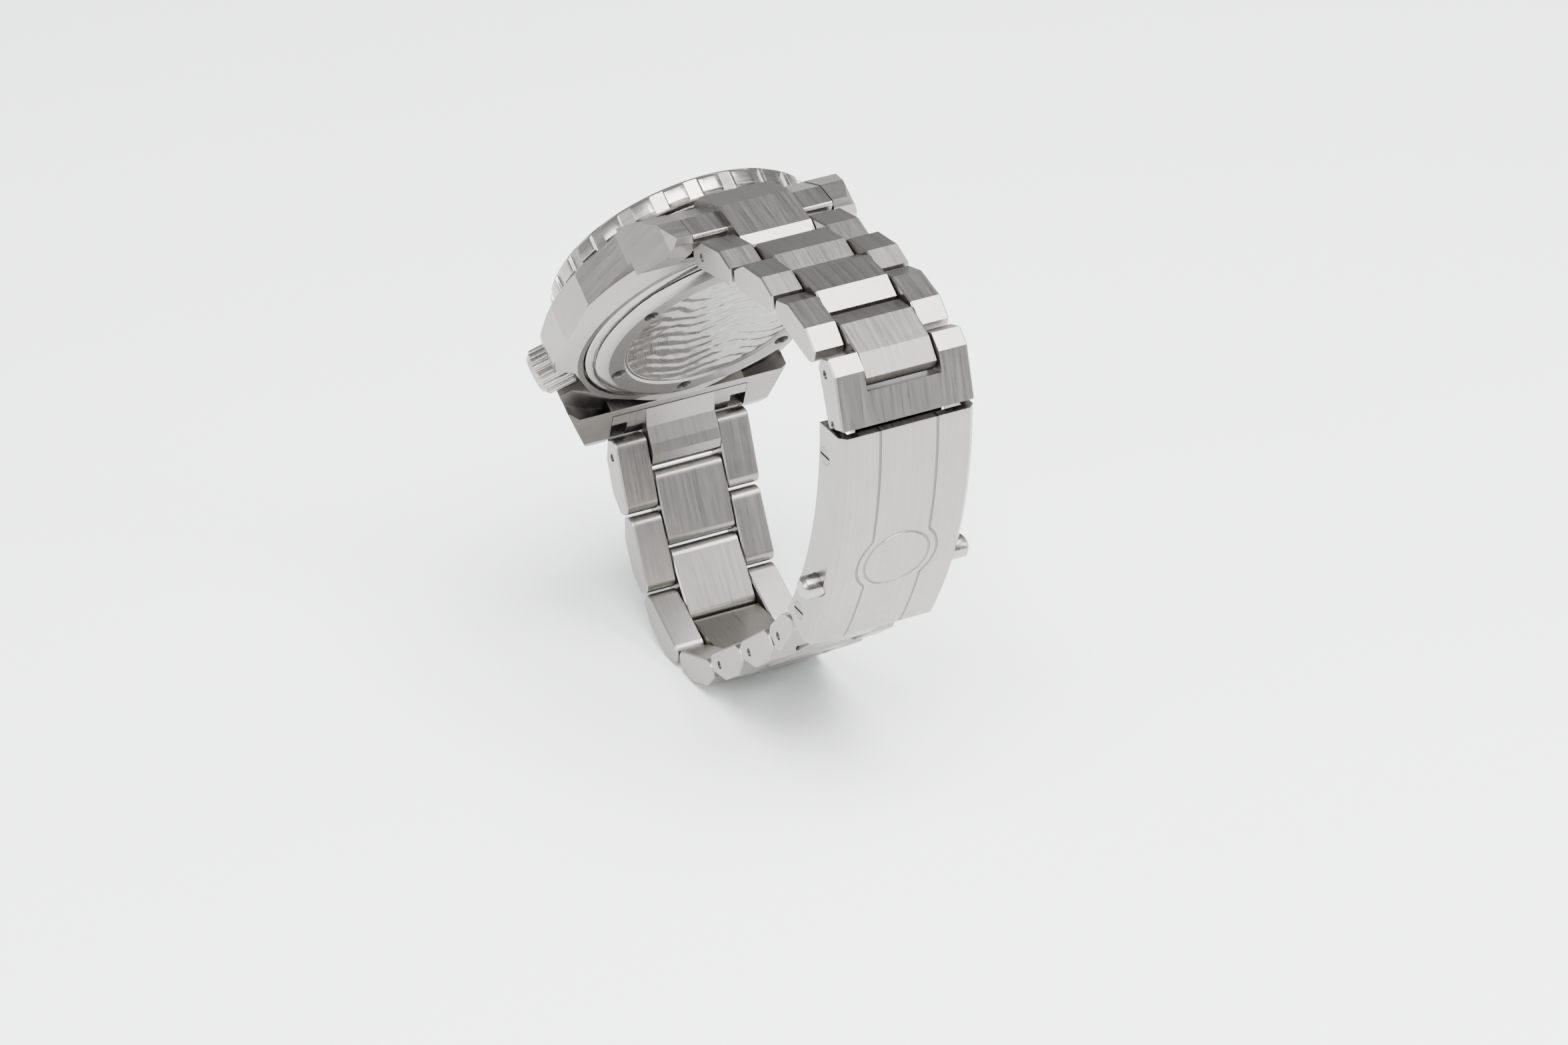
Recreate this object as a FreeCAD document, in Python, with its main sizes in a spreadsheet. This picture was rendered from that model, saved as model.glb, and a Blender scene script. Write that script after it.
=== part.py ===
import FreeCAD, Part
import math
import os
import Sketcher

# Dive watch on a three-row steel bracelet, closed with a folding clasp.
# Frame: +X runs along the wrist towards the crown side, +Z is up, and the origin is the
# centre of the wrist, on the dial's axis.  The watch head is drawn dial up and then tilted.

os.makedirs("parts", exist_ok=True)
doc = FreeCAD.newDocument("dive_watch")
sheet = doc.addObject("Spreadsheet::Sheet", "sizes")
row_number = 0


class Size:
    """A length or an angle: its number now, and the sheet expression that it follows."""

    def __init__(self, number, text):
        self.number = number
        self.text = text

    def joined(self, other, sign, number):
        right = other.text if isinstance(other, Size) else repr(float(other))
        return Size(number, "(" + self.text + " " + sign + " " + right + ")")

    def __add__(self, other):
        return self.joined(other, "+", self.number + number_of(other))

    def __sub__(self, other):
        return self.joined(other, "-", self.number - number_of(other))

    def __mul__(self, other):
        return self.joined(other, "*", self.number * number_of(other))

    def __truediv__(self, other):
        return self.joined(other, "/", self.number / number_of(other))

    def __neg__(self):
        return self * -1.0


def number_of(value):
    return value.number if isinstance(value, Size) else float(value)


def text_of(value):
    return value.text if isinstance(value, Size) else repr(float(value))


def drive(alias, number):
    """Writes one driving dimension into the sheet and returns it as a Size."""
    global row_number
    row_number += 1
    cell = "B%d" % row_number
    sheet.set("A%d" % row_number, alias)
    sheet.set(cell, repr(number))
    sheet.setAlias(cell, alias)
    return Size(number, "sizes." + alias)


def polar(radius, degrees):
    """The point at a radius and an angle, as two Sizes."""
    turn = math.radians(number_of(degrees))
    angle_text = "(" + text_of(degrees) + ") * 1 deg"
    across = Size(number_of(radius) * math.cos(turn), "(%s) * cos(%s)" % (text_of(radius), angle_text))
    up = Size(number_of(radius) * math.sin(turn), "(%s) * sin(%s)" % (text_of(radius), angle_text))
    return across, up


# ---------------------------------------------------------------- bodies, sketches, features

def new_body(label):
    body = doc.addObject("PartDesign::Body", label)
    body.Label = label
    if hasattr(body, "AllowCompound"):
        body.AllowCompound = True
    return body


def origin_feature(body, role):
    return [item for item in body.Origin.OriginFeatures if item.Role == role][0]


def new_sketch(body, plane, lift=None):
    """A sketch on one of the body's origin planes, lifted along the plane's normal."""
    sketch = body.newObject("Sketcher::SketchObject", body.Name + "_sketch")
    sketch.AttachmentSupport = [(origin_feature(body, plane), "")]
    sketch.MapMode = "FlatFace"
    if lift is not None:
        sketch.AttachmentOffset = FreeCAD.Placement(FreeCAD.Vector(0, 0, number_of(lift)), FreeCAD.Rotation())
        sketch.setExpression("AttachmentOffset.Base.z", text_of(lift))
    return sketch


def bind_point(sketch, geometry, end, point):
    """Holds one point of the sketch at its two coordinates."""
    for kind, value, axis in (("DistanceX", point[0], -2), ("DistanceY", point[1], -1)):
        if not isinstance(value, Size) and float(value) == 0.0:
            sketch.addConstraint(Sketcher.Constraint("PointOnObject", geometry, end, axis))
            continue
        index = sketch.addConstraint(Sketcher.Constraint(kind, -1, 1, geometry, end, number_of(value)))
        sketch.setExpression("Constraints[%d]" % index, text_of(value))


def add_outline(sketch, points):
    """A closed outline of straight lines through the points."""
    corners = [FreeCAD.Vector(number_of(u), number_of(v), 0) for u, v in points]
    first = sketch.GeometryCount
    count = len(corners)
    for index in range(count):
        sketch.addGeometry(Part.LineSegment(corners[index], corners[(index + 1) % count]), False)
    for index in range(count):
        after = first + (index + 1) % count
        sketch.addConstraint(Sketcher.Constraint("Coincident", first + index, 2, after, 1))
    for index in range(count):
        bind_point(sketch, first + index, 1, points[index])


def add_circle(sketch, centre, radius):
    middle = FreeCAD.Vector(number_of(centre[0]), number_of(centre[1]), 0)
    index = sketch.addGeometry(Part.Circle(middle, FreeCAD.Vector(0, 0, 1), number_of(radius)), False)
    bind_point(sketch, index, 3, centre)
    radius_index = sketch.addConstraint(Sketcher.Constraint("Radius", index, number_of(radius)))
    sketch.setExpression("Constraints[%d]" % radius_index, text_of(radius))


def add_sector(sketch, inner, outer, start, stop):
    """A stretch of a flat ring about the sketch's origin, from one angle to another."""
    first = sketch.GeometryCount
    low, high = math.radians(number_of(start)), math.radians(number_of(stop))
    up = FreeCAD.Vector(0, 0, 1)
    zero = FreeCAD.Vector(0, 0, 0)
    for radius in (inner, outer):
        sketch.addGeometry(Part.ArcOfCircle(Part.Circle(zero, up, number_of(radius)), low, high), False)
    for turn in (low, high):
        near = FreeCAD.Vector(math.cos(turn), math.sin(turn), 0) * number_of(inner)
        far = FreeCAD.Vector(math.cos(turn), math.sin(turn), 0) * number_of(outer)
        sketch.addGeometry(Part.LineSegment(near, far), False)
    for arc, radius in ((first, inner), (first + 1, outer)):
        sketch.addConstraint(Sketcher.Constraint("Coincident", arc, 3, -1, 1))
        index = sketch.addConstraint(Sketcher.Constraint("Radius", arc, number_of(radius)))
        sketch.setExpression("Constraints[%d]" % index, text_of(radius))
    for line, arc_end, angle in ((first + 2, 1, start), (first + 3, 2, stop)):
        sketch.addConstraint(Sketcher.Constraint("Coincident", line, 1, first, arc_end))
        sketch.addConstraint(Sketcher.Constraint("Coincident", line, 2, first + 1, arc_end))
        point = polar(outer, angle)
        index = sketch.addConstraint(Sketcher.Constraint("DistanceY", -1, 1, line, 2, number_of(point[1])))
        sketch.setExpression("Constraints[%d]" % index, text_of(point[1]))
        inner_point = polar(inner, angle)
        index = sketch.addConstraint(Sketcher.Constraint("DistanceY", -1, 1, line, 1,
                number_of(inner_point[1])))
        sketch.setExpression("Constraints[%d]" % index, text_of(inner_point[1]))


def pad(body, sketch, length, both_ways=True):
    feature = body.newObject("PartDesign::Pad", body.Name + "_pad")
    feature.Profile = sketch
    feature.Length = number_of(length)
    feature.setExpression("Length", text_of(length))
    feature.Midplane = both_ways
    body.Tip = feature
    return feature


def pocket(body, sketch, length=None):
    """Cuts the sketch through the body, both ways: right through, or over a length."""
    feature = body.newObject("PartDesign::Pocket", body.Name + "_pocket")
    feature.Profile = sketch
    feature.Midplane = True
    if length is None:
        feature.Type = "ThroughAll"
    else:
        feature.Length = number_of(length)
        feature.setExpression("Length", text_of(length))
    body.Tip = feature
    return feature


def turned(body, kind, sketch):
    """A Revolution or a Groove of the sketch, a full turn about the sketch's upright axis."""
    feature = body.newObject("PartDesign::" + kind, body.Name + "_" + kind.lower())
    feature.Profile = sketch
    feature.ReferenceAxis = (sketch, ["V_Axis"])
    feature.Angle = 360.0
    body.Tip = feature
    return feature


def dress(body, kind, wanted, size):
    """A Fillet or Chamfer along every edge for which wanted(edge) is true."""
    doc.recompute()
    base = body.Tip
    names = ["Edge%d" % (index + 1) for index, edge in enumerate(base.Shape.Edges) if wanted(edge)]
    feature = body.newObject("PartDesign::" + kind, body.Name + "_" + kind.lower())
    feature.Base = (base, names)
    side = "Radius" if kind == "Fillet" else "Size"
    setattr(feature, side, number_of(size))
    feature.setExpression(side, text_of(size))
    body.Tip = feature
    return feature


def mirror_across(body, features, plane="YZ_Plane"):
    feature = body.newObject("PartDesign::Mirrored", body.Name + "_mirrored")
    feature.Originals = features
    feature.MirrorPlane = (origin_feature(body, plane), [""])
    body.Tip = feature
    return feature


def around(body, features, axis, count):
    feature = body.newObject("PartDesign::PolarPattern", body.Name + "_pattern")
    feature.Originals = features
    feature.Axis = (origin_feature(body, axis), [""])
    feature.Angle = 360.0
    feature.Occurrences = count
    body.Tip = feature
    return feature


def ring(label, outline):
    """A turned piece about Z: its outline is given as radius and height."""
    body = new_body(label)
    sketch = new_sketch(body, "XZ_Plane")
    add_outline(sketch, outline)
    turned(body, "Revolution", sketch)
    return body


def rod(label, radius, length):
    """A Part cylinder along X, its middle at the origin of its own frame."""
    cylinder = doc.addObject("Part::Cylinder", label)
    cylinder.setExpression("Radius", text_of(radius))
    cylinder.setExpression("Height", text_of(length))
    cylinder.Placement = FreeCAD.Placement(FreeCAD.Vector(-number_of(length) / 2, 0, 0),
                                           FreeCAD.Rotation(FreeCAD.Vector(0, 1, 0), 90))
    return cylinder


def boolean(kind, label, first, second):
    feature = doc.addObject("Part::" + kind, label)
    feature.Label = label
    feature.Base = first
    feature.Tool = second
    return feature


def group(label, pieces):
    """Several separate solids kept as one sub-part."""
    feature = doc.addObject("Part::Compound", label)
    feature.Label = label
    feature.Links = pieces
    return feature


X_AXIS = FreeCAD.Vector(1, 0, 0)
Z_AXIS = FreeCAD.Vector(0, 0, 1)
sub_parts = []


def finish(piece, placement=None):
    """Puts a finished sub-part in its place and lists it for export."""
    if placement is not None:
        piece.Placement = placement
    sub_parts.append(piece)
    return piece


def spot(y, z, degrees):
    """A place in the bracelet: a point of the middle plane and a direction."""
    return FreeCAD.Placement(FreeCAD.Vector(0, y, z), FreeCAD.Rotation(X_AXIS, degrees))


# ---------------------------------------------------------------- driving dimensions

tilt = drive("dial_tilt", 58.0)
back = drive("back_level", 26.0)
lug_gap = drive("lug_gap", 22.2)
case_radius = drive("case_radius", 22.6)
case_height = drive("case_height", 9.2)
lug_reach = drive("lug_reach", 28.8)
neck_radius = drive("neck_radius", 17.6)
bezel_radius = drive("bezel_radius", 20.4)
bezel_blocks = 24
back_radius = drive("case_back_radius", 19.9)
key_circle = drive("key_hole_circle_radius", 15.7)
key_radius = drive("key_hole_radius", 1.1)
key_holes = 6
dial_radius = drive("dial_radius", 15.8)
crystal_radius = drive("crystal_radius", 15.9)
crown_angle = drive("crown_angle", -30.0)
crown_level = drive("crown_level", 4.9)
crown_radius = drive("crown_radius", 3.5)
crown_reach = drive("crown_reach", 27.0)
crown_flutes = 20

link_pitch = drive("link_pitch", 12.0)
link_end = drive("link_end_reach", 2.8)
link_rise = drive("link_rise", 2.4)
link_drop = drive("link_drop", 2.0)
link_shoulder = drive("link_shoulder", 0.7)
link_round = drive("link_inner_round", 1.5)
link_break = drive("link_edge_break", 0.22)
centre_width = drive("centre_link_width", 11.2)
side_gap = drive("link_side_gap", 0.12)
pin_radius = drive("pin_radius", 0.6)
pin_fit = drive("pin_fit_clearance", 0.02)
pin_play = drive("pin_running_clearance", 0.06)
blind_wall = drive("blind_bore_wall", 0.8)
hinge_out = drive("end_link_pin_out", 28.4)
hinge_down = drive("end_link_pin_down", 4.2)
bar_out = drive("spring_bar_out", 25.0)
bar_up = drive("spring_bar_up", 1.2)
bar_radius = drive("spring_bar_radius", 0.9)

clasp_y = drive("clasp_centre_y", -32.4)
clasp_z = drive("clasp_centre_z", 24.7)
clasp_radius = drive("clasp_outer_radius", 69.4)
clasp_width = drive("clasp_width", 20.8)
clasp_depth = drive("clasp_depth", 6.4)
clasp_skin = drive("clasp_skin", 1.4)
clasp_wall = drive("clasp_wall", 1.6)
cover_top = drive("cover_top_angle", 1.8)
cover_low = drive("cover_low_angle", -31.6)
screw_top_radius = drive("top_screw_radius", 64.6)
screw_top_angle = drive("top_screw_angle", -2.3)
screw_low_radius = drive("low_screw_radius", 65.1)
screw_low_angle = drive("low_screw_angle", -29.0)
screw_shank = drive("screw_shank_radius", 0.75)
screw_head = drive("screw_head_radius", 1.3)
fold_radius = drive("fold_pin_circle_radius", 65.4)
fold_angle = drive("fold_pin_angle", -15.0)
fold_pin_radius = drive("fold_pin_radius", 0.7)
button_radius_out = drive("button_circle_radius", 67.0)
button_angle = drive("button_angle", -21.3)
blade_width = drive("inner_blade_width", 13.4)
button_cap = drive("button_cap_radius", 1.7)
button_shank = drive("button_shank_radius", 1.1)

# The widths of the rows narrow from the lugs to the clasp.
row_width = [drive("row_width_%d" % row, width) for row, width in ((1, 22.0), (2, 21.3), (3, 20.8), (4,
        20.4))]

# The direction of each half-pitch of bracelet when the clasp is closed, in whole degrees.
directions_12 = [11.0, 9.0, 7.0, -4.0, -13.0, -21.0]
directions_6 = [-68.0, -64.0, -62.0, -52.0, -26.0, 0.0, 22.0, 38.0, 38.0, 39.0, 40.0, 42.0]


def cell(size):
    """A sheet value as a plain number, for a placement worked out in code."""
    return number_of(size)


head = FreeCAD.Placement(FreeCAD.Vector(0, 0, 0), FreeCAD.Rotation(X_AXIS, cell(tilt)))


def head_turned(degrees):
    """The head's place, turned about the dial's axis."""
    return head * FreeCAD.Placement(FreeCAD.Vector(0, 0, 0), FreeCAD.Rotation(Z_AXIS, degrees))


def finish_head(piece, degrees=0.0):
    return finish(piece, head_turned(degrees))


# ---------------------------------------------------------------- watch head

top = back + case_height


def mid_case():
    """Case middle: lugs, crown guards, neck for the bezel and a stepped bore from the back."""
    body = new_body("mid_case_block")
    side = new_sketch(body, "YZ_Plane")
    half = [(0.0, top), (16.6, top), (23.4, back + 6.2), (27.3, back + 3.0), (lug_reach, back - 0.6),
            (lug_reach - 0.7, back - 1.5), (lug_reach - 2.6, back - 2.0), (21.0, back - 0.6), (19.6, back)]
    mirrored_half = [(-1.0 * number_of(y) if not isinstance(y, Size) else -y, z) for y, z in half[1:]]
    add_outline(side, half + mirrored_half[::-1])
    pad(body, side, case_radius * 2.0 + 6.0)
    plan = new_sketch(body, "XY_Plane")
    inner = lug_gap / 2.0
    outer = inner + 3.5
    lug_end = lug_reach + 1.0
    shoulder = lug_reach - 1.2
    guard_side = [(inner, 21.8), (inner, lug_end), (outer - 2.2, lug_end), (outer, shoulder), (17.6, 19.5),
                  (21.7, 10.5), (case_radius + 0.6, 1.5), (case_radius + 0.8, -5.6), (21.6, -11.5),
                  (19.7, -17.0), (outer, -shoulder), (outer - 2.2, -lug_end), (inner, -lug_end),
                  (inner, -21.8)]
    plain_side = [(-inner, -21.8), (-inner, -lug_end), (-outer + 2.2, -lug_end), (-outer, -shoulder),
            (-17.8, -19.0),
                  (-21.7, -9.8), (-case_radius, 0.0), (-21.7, 9.8), (-17.8, 19.0),
                  (-outer, shoulder), (-outer + 2.2, lug_end), (-inner, lug_end), (-inner, 21.8)]
    add_outline(plan, guard_side + plain_side)
    rim = [(32.0, 36.0), (32.0, -36.0), (-32.0, -36.0), (-32.0, 36.0)]
    add_outline(plan, rim)
    pocket(body, plan)

    bevel = new_sketch(body, "XZ_Plane")
    add_outline(bevel, [(case_radius - 1.6, top + 0.5), (case_radius - 1.6, top),
            (case_radius + 1.4, top - 2.2),
                        (case_radius + 4.0, top - 2.2), (case_radius + 4.0, top + 0.5)])
    turned(body, "Groove", bevel)
    under = new_sketch(body, "XZ_Plane")
    add_outline(under, [(case_radius - 1.5, back - 0.5), (case_radius - 1.5, back),
            (case_radius + 1.2, back + 1.9),
                        (case_radius + 4.0, back + 1.9), (case_radius + 4.0, back - 0.5)])
    turned(body, "Groove", under)
    neck = new_sketch(body, "XZ_Plane")
    neck_top = top + 2.7
    add_outline(neck, [(10.0, back + 4.0), (neck_radius, back + 4.0), (neck_radius, neck_top),
            (10.0, neck_top)])
    turned(body, "Revolution", neck)
    bore = new_sketch(body, "XZ_Plane")
    add_outline(bore, [(0.0, back - 2.0), (back_radius + 0.35, back - 2.0), (back_radius + 0.35, back + 1.3),
                       (18.1, back + 1.3), (18.1, back + 3.0), (dial_radius + 0.2, back + 3.0),
                       (dial_radius + 0.2, back + 7.0), (15.0, back + 7.0), (15.0, back + 8.6),
                       (crystal_radius + 0.3, back + 8.6), (crystal_radius + 0.3, neck_top + 1.0),
                       (0.0, neck_top + 1.0)])
    turned(body, "Groove", bore)

    recess = doc.addObject("Part::Box", "crown_recess")
    recess.Length = 12.0
    recess.setExpression("Width", text_of(crown_radius * 2.0 + 1.6))
    recess.setExpression("Height", text_of(crown_radius * 2.0 + 6.0))
    turn = FreeCAD.Rotation(Z_AXIS, cell(crown_angle))
    corner = FreeCAD.Vector(21.0, -cell(crown_radius) - 0.8, cell(back) - 3.0)
    recess.Placement = FreeCAD.Placement(FreeCAD.Vector(0, 0, 0), turn) * FreeCAD.Placement(corner,
            FreeCAD.Rotation())
    tube_bore = doc.addObject("Part::Cylinder", "tube_bore")
    tube_bore.Radius = 1.62
    tube_bore.Height = 9.0
    lying = FreeCAD.Placement(FreeCAD.Vector(14.0, 0, cell(back + crown_level)),
            FreeCAD.Rotation(FreeCAD.Vector(0, 1, 0), 90))
    tube_bore.Placement = FreeCAD.Placement(FreeCAD.Vector(0, 0, 0), turn) * lying
    cutters = [recess, tube_bore]
    for side_sign in (1, -1):
        hole = rod("lug_holes", bar_radius * 0.66, lug_gap + 4.4)
        hole.Placement.Base.y = side_sign * cell(bar_out)
        hole.Placement.Base.z = cell(back + bar_up)
        cutters.append(hole)
    tool = doc.addObject("Part::MultiFuse", "case_cutters")
    tool.Shapes = cutters
    return finish_head(boolean("Cut", "mid_case", body, tool))


def case_back():
    """Screwed back: sloped rim with a fine groove, flat ring with key holes, sunk centre disc."""
    rim = back_radius
    body = ring("case_back", [
        (0.0, back - 1.3), (14.2, back - 1.3), (14.5, back - 1.65), (16.9, back - 1.65), (18.5, back - 0.55),
        (18.5, back - 0.25), (18.85, back - 0.25), (18.85, back - 0.45), (rim - 0.25, back - 0.1),
        (rim, back + 0.2),
        (rim, back + 0.9), (18.0, back + 0.9), (18.0, back + 2.5), (16.4, back + 2.5), (16.4, back + 0.6),
        (0.0, back + 0.6)])
    holes = new_sketch(body, "XY_Plane", back - 2.0)
    add_circle(holes, polar(key_circle, 35.0), key_radius)
    cut = pocket(body, holes, 2.6)
    around(body, [cut], "Z_Axis", key_holes)
    return finish_head(body)


def crown_place(out):
    """A frame on the crown's axis, its X pointing out of the case."""
    turn = FreeCAD.Placement(FreeCAD.Vector(0, 0, 0), FreeCAD.Rotation(Z_AXIS, cell(crown_angle)))
    return head * turn * FreeCAD.Placement(FreeCAD.Vector(out, 0, cell(back + crown_level)),
            FreeCAD.Rotation())


def lathe_along_x(label, outline):
    """A turned piece about X: its outline is given as distance along X and radius."""
    body = new_body(label)
    sketch = new_sketch(body, "XY_Plane")
    add_outline(sketch, outline)
    feature = body.newObject("PartDesign::Revolution", label + "_turned")
    feature.Profile = sketch
    feature.ReferenceAxis = (sketch, ["H_Axis"])
    feature.Angle = 360.0
    body.Tip = feature
    return body


def crown_group():
    """Screw-down crown with deep flutes, its tube and the winding stem."""
    reach = crown_reach - 21.4
    crown = lathe_along_x("crown", [
        (0.0, 1.95), (0.0, crown_radius - 0.5), (0.5, crown_radius), (reach - 0.9, crown_radius),
        (reach, crown_radius - 0.9), (reach, 0.0), (3.6, 0.0), (3.6, 1.95)])
    flute = new_sketch(crown, "YZ_Plane", reach / 2.0)
    add_circle(flute, (crown_radius + 0.14, 0.0), 0.36)
    cut = pocket(crown, flute)
    around(crown, [cut], "X_Axis", crown_flutes)
    finish(crown, crown_place(21.4))
    stem = lathe_along_x("winding_stem", [
        (0.0, 0.0), (0.0, 0.6), (1.2, 0.6), (1.2, 0.35), (1.7, 0.35), (1.7, 0.6), (12.4, 0.6), (12.4, 0.0)])
    finish(stem, crown_place(12.58))
    tube = lathe_along_x("crown_tube", [(0.0, 0.75), (0.0, 1.6), (8.3, 1.6), (8.3, 0.75)])
    finish(tube, crown_place(16.1))


def bezel_group():
    """Rotating bezel: a ring with blocks round its edge, its insert and the pip."""
    bezel = ring("bezel_ring", [
        (neck_radius + 0.1, back + 9.4), (18.1, back + 9.4), (18.1, back + 10.0), (19.1, back + 10.0),
        (19.1, back + 9.4), (bezel_radius - 0.9, back + 9.4), (bezel_radius, back + 10.0),
        (bezel_radius, back + 12.1), (bezel_radius - 0.9, back + 13.0), (19.25, back + 13.0),
        (19.25, back + 12.3),
        (16.5, back + 12.3), (16.5, back + 12.0), (neck_radius + 0.1, back + 12.0)])
    notch = new_sketch(bezel, "XY_Plane", back + 11.0)
    add_outline(notch, [(bezel_radius - 0.55, -1.0), (bezel_radius + 1.0, -1.3), (bezel_radius + 1.0, 1.3),
                        (bezel_radius - 0.55, 1.0)])
    cut = pocket(bezel, notch)
    around(bezel, [cut], "Z_Axis", bezel_blocks)
    finish_head(bezel, 5.0)
    finish_head(ring("bezel_insert", [(16.6, back + 12.32), (19.2, back + 12.32), (19.2, back + 13.05),
                                      (16.6, back + 13.35)]))
    pip = doc.addObject("Part::Cylinder", "bezel_pip")
    pip.Label = "bezel_pip"
    pip.Radius = 0.7
    pip.Height = 0.25
    finish(pip, head * FreeCAD.Placement(FreeCAD.Vector(0, 17.9, cell(back) + 13.28), FreeCAD.Rotation()))


def hand(label, length, tail, width, level, hub):
    """A pressed hand: a tapered blade and a round hub on the centre post."""
    body = new_body(label)
    blade = new_sketch(body, "XY_Plane", level)
    add_outline(blade, [(-width / 4.0, -tail), (width / 4.0, -tail), (width / 2.0, length * 0.7),
            (0.0, length),
                        (-width / 2.0, length * 0.7)])
    pad(body, blade, 0.16)
    disc = new_sketch(body, "XY_Plane", level)
    add_circle(disc, (0.0, 0.0), hub)
    pad(body, disc, 0.2)
    hole = new_sketch(body, "XY_Plane", level)
    add_circle(hole, (0.0, 0.0), 0.42)
    pocket(body, hole)
    return body


def inside_group():
    """Everything between the crystal and the case back."""
    finish_head(ring("case_back_gasket", [(18.6, back + 0.92), (19.6, back + 0.92), (19.6, back + 1.28),
                                          (18.6, back + 1.28)]))
    finish_head(ring("crystal", [(0.0, back + 8.65), (crystal_radius, back + 8.65),
            (crystal_radius, back + 12.3),
                                 (13.0, back + 12.9), (7.0, back + 13.3), (0.0, back + 13.45)]))
    finish_head(ring("rehaut_ring", [(13.6, back + 7.03), (14.9, back + 7.03), (14.9, back + 8.6),
                                     (14.5, back + 8.6)]))
    finish_head(ring("dial", [(0.5, back + 6.6), (dial_radius, back + 6.6), (dial_radius, back + 6.98),
                              (0.5, back + 6.98)]))
    movement = ring("movement_block", [(0.0, back + 1.2), (12.2, back + 1.2), (13.4, back + 2.4),
                                       (13.4, back + 6.5), (0.38, back + 6.5), (0.38, back + 8.45),
                                       (0.0, back + 8.45)])
    well = doc.addObject("Part::Box", "stem_well")
    well.Length = 3.2
    well.Width = 3.0
    well.Height = 2.9
    turn = FreeCAD.Placement(FreeCAD.Vector(0, 0, 0), FreeCAD.Rotation(Z_AXIS, cell(crown_angle)))
    well.Placement = turn * FreeCAD.Placement(FreeCAD.Vector(12.4, -1.5, cell(back) + 4.0),
            FreeCAD.Rotation())
    finish_head(boolean("Cut", "movement", movement, well))
    holder = ring("holder_block", [(13.5, back + 3.2), (15.9, back + 3.2), (15.9, back + 6.5),
            (13.5, back + 6.5)])
    slot = doc.addObject("Part::Box", "holder_slot")
    slot.Length = 6.0
    slot.Width = 3.0
    slot.Height = 2.9
    slot.Placement = turn * FreeCAD.Placement(FreeCAD.Vector(12.4, -1.5, cell(back) + 4.0),
            FreeCAD.Rotation())
    finish_head(boolean("Cut", "movement_holder", holder, slot))
    finish_head(hand("hour_hand", 8.2, 2.2, 1.9, back + 7.25, 0.95), -60.0)
    finish_head(hand("minute_hand", 12.2, 2.6, 1.5, back + 7.65, 0.9), 60.0)
    finish_head(hand("seconds_hand", 12.8, 4.0, 0.5, back + 8.05, 0.7), 150.0)


# ---------------------------------------------------------------- bracelet

def end_link(label, degrees):
    """Fitted between the lugs: two wings, and a raised centre that carries the first hinge.
    A window in the underside of each wing lets a tool reach the spring bar's shoulder."""
    pin_y, pin_z = hinge_out, back - hinge_down
    body = new_body(label + "_block")
    wings = new_sketch(body, "YZ_Plane")
    reach = 3.05
    rim = [(pin_y + polar(reach, turn)[0], pin_z + polar(reach, turn)[1]) for turn in (88.0, 108.0, 128.0)]
    add_outline(wings, [(21.95, back - 0.9), (21.95, back + 6.6), (23.4, back + 6.1), (27.3, back + 2.9),
                        (lug_reach - 0.1, back - 0.6)] + rim + [(24.6, back - 1.7)])
    pad(body, wings, lug_gap - 0.2)
    raised = new_sketch(body, "YZ_Plane")
    tip = [(pin_y + polar(2.74, turn)[0], pin_z + polar(2.74, turn)[1]) for turn in (10.0, -25.0, -60.0,
            -95.0, -130.0, -165.0)]
    add_outline(raised, [(21.95, back - 0.9), (21.95, back + 7.6), (24.9, back + 6.9), (29.0, back + 2.6)]
                + tip + [(24.6, back - 2.6)])
    pad(body, raised, centre_width)
    bores = new_sketch(body, "YZ_Plane")
    add_circle(bores, (pin_y, pin_z), pin_radius + pin_play)
    add_circle(bores, (bar_out, back + bar_up), bar_radius + 0.03)
    pocket(body, bores)

    window = new_sketch(body, "XY_Plane", back - 1.4)
    window_in, window_out = lug_gap / 2.0 - 2.6, lug_gap / 2.0 + 0.5
    add_outline(window, [(window_in, bar_out - 1.4), (window_out, bar_out - 1.4), (window_out, bar_out + 1.3),
                         (window_in, bar_out + 1.3)])
    cut = pocket(body, window, 5.0)
    mirror_across(body, [cut])
    body.Label = label
    return finish(body, head_turned(degrees))


def spring_bar(label, degrees):
    """Sprung bar between two lugs: a tube with a thinner tip at each end."""
    body = lathe_along_x(label, [(-lug_gap / 2.0 - 1.9, 0.0), (-lug_gap / 2.0 - 1.9, 0.52),
            (-lug_gap / 2.0 + 0.5, 0.52),
                                 (-lug_gap / 2.0 + 0.5, bar_radius), (lug_gap / 2.0 - 0.5, bar_radius),
                                 (lug_gap / 2.0 - 0.5, 0.52), (lug_gap / 2.0 + 1.9, 0.52),
                                 (lug_gap / 2.0 + 1.9, 0.0)])
    lift = FreeCAD.Placement(FreeCAD.Vector(0, cell(bar_out), cell(back + bar_up)), FreeCAD.Rotation())
    return finish(body, head_turned(degrees) * lift)


half_pitch = link_pitch / 2.0


def link_outline():
    """The side view of a link: flat inside, three facets outside, its first pin at the origin."""
    far = half_pitch + link_end
    return [(-link_end, -link_drop), (-link_end, link_shoulder), (0.3, link_rise),
            (half_pitch - 0.3, link_rise),
            (far, link_shoulder), (far, -link_drop)]


def inner_corner(edge):
    box = edge.BoundBox
    return box.XLength > 1.0 and box.ZMax < -cell(link_drop) + 0.01


def round_and_break(body):
    """Rounds the two inner corners and breaks the sharp edges of both flanks."""
    dress(body, "Fillet", inner_corner, link_round)

    def flank_edge(edge):
        return edge.BoundBox.XLength < 0.001

    dress(body, "Chamfer", flank_edge, link_break)


def bore_both(body, clearance, near_width=None, far_width=None):
    """The two pin bores of a link: right across it, or blind, over the widths given."""
    for along, width in ((0.0, near_width), (half_pitch, far_width)):
        bore = new_sketch(body, "YZ_Plane")
        add_circle(bore, (along, 0.0), pin_radius + clearance)
        pocket(body, bore, width)


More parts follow.
